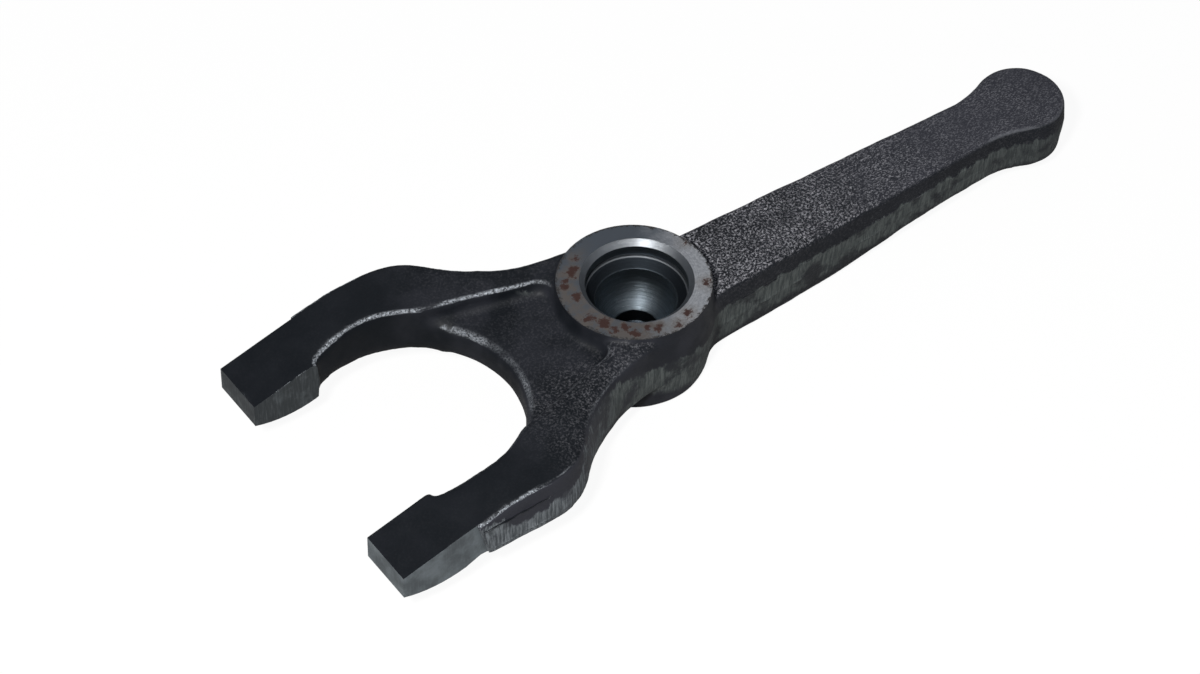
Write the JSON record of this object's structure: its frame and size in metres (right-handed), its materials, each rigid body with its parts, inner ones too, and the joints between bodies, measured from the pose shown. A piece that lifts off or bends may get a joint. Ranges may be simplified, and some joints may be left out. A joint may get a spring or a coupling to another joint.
{
  "type": "clutch release fork",
  "caption": "Forged steel lever that rocks on a ball pivot: two prongs straddle the release bearing's sleeve and a long arm takes the push rod.",
  "frame": {"origin": "centre of the pivot ball's spherical seat", "axes": "+X along the lever to its round push end, prongs towards -X, +Z out of the mouth of the ball socket, +Y square to the plane of symmetry"},
  "size_m": [0.2708, 0.0984, 0.0304],
  "materials": {
    "forged_steel": "dark oiled forging scale, granular on the arm, with trimmed flash along the parting line, milled prong tips and a bright machined ring and ball socket with rust spots"
  },
  "bodies": {
    "root": {"clutch_fork": "forged_steel"}
  },
  "joints": []
}
